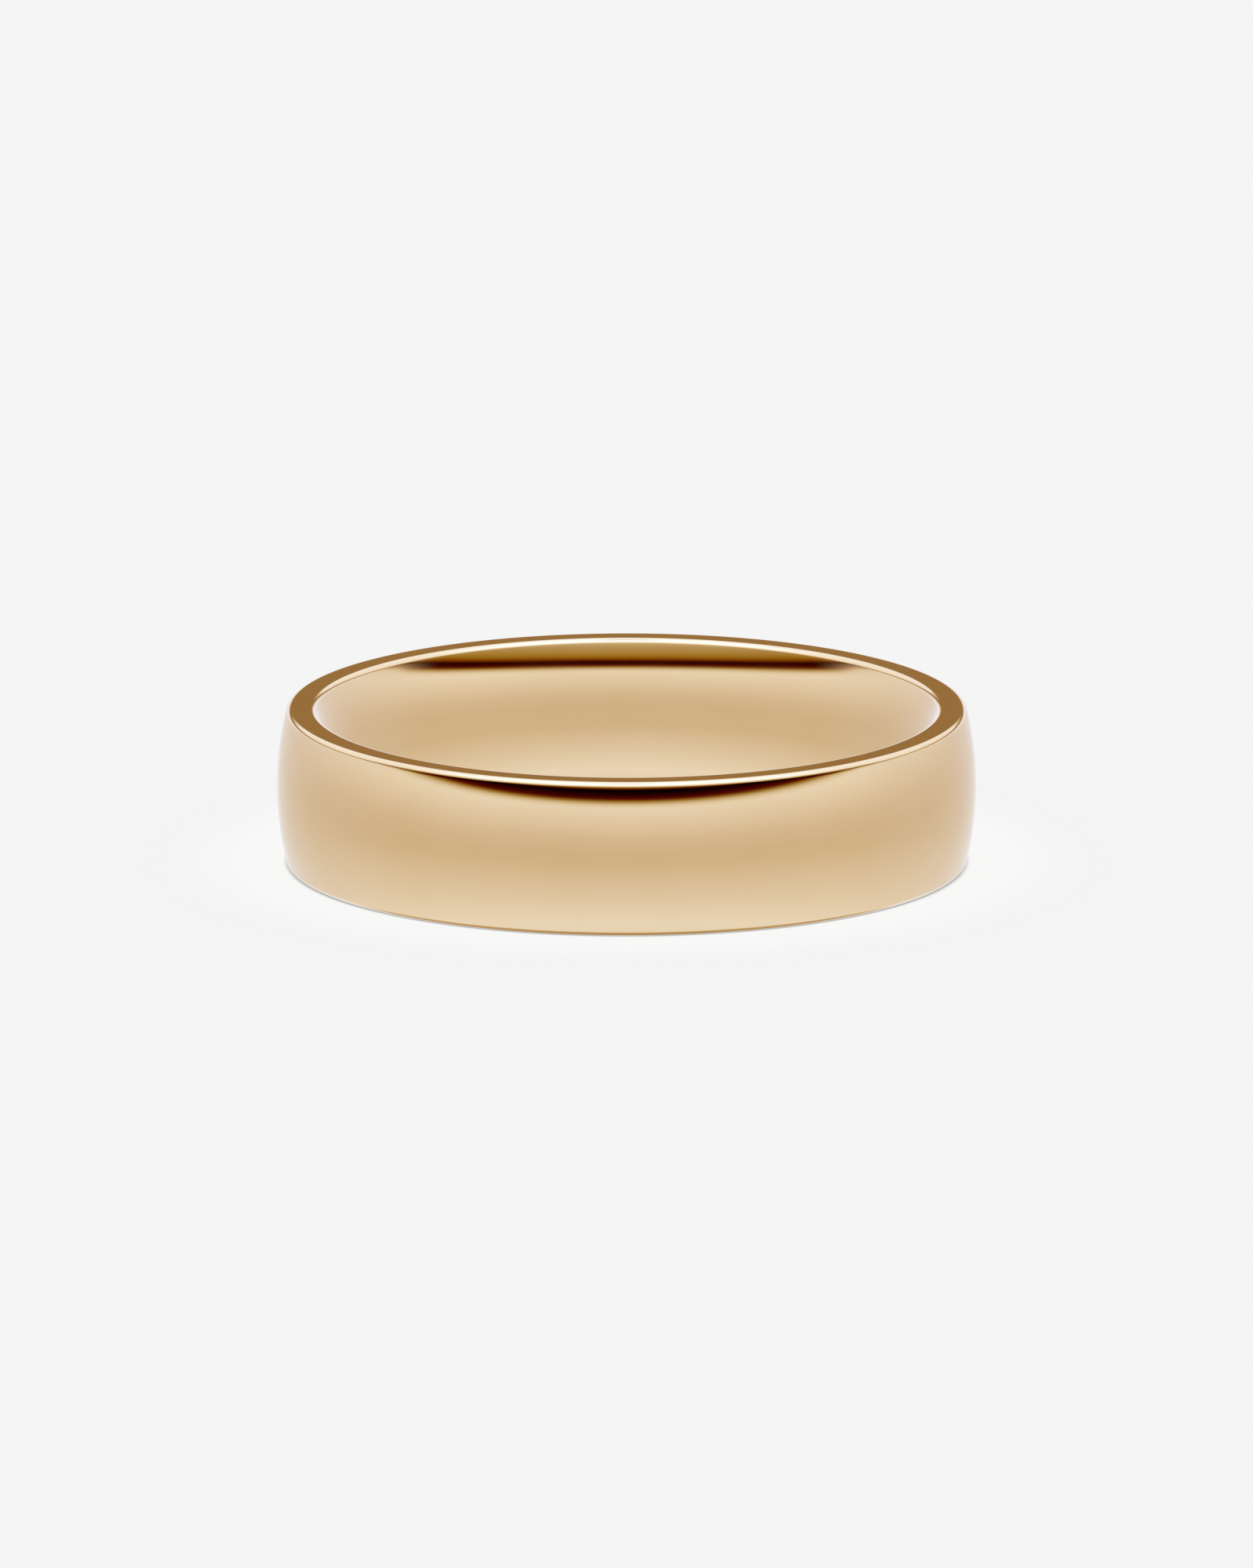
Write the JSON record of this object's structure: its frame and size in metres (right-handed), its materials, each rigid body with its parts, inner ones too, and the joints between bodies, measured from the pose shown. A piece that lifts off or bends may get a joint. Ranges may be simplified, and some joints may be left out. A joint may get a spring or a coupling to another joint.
{
  "type": "wedding band",
  "caption": "Plain polished comfort-fit wedding band: a seamless ring with a domed outside, a curved inside and flat, round-edged ends.",
  "frame": {"origin": "centre of the ring on its axis, at the plane of the lower flat end", "axes": "+Z along the finger's axis, from the lower flat end to the upper one; the ring is the same all round, so X and Y are free"},
  "size_m": [0.0222, 0.0222, 0.005],
  "materials": {
    "polished_gold": "mirror polished 14 carat yellow gold"
  },
  "bodies": {
    "root": {"band": "polished_gold"}
  },
  "joints": []
}
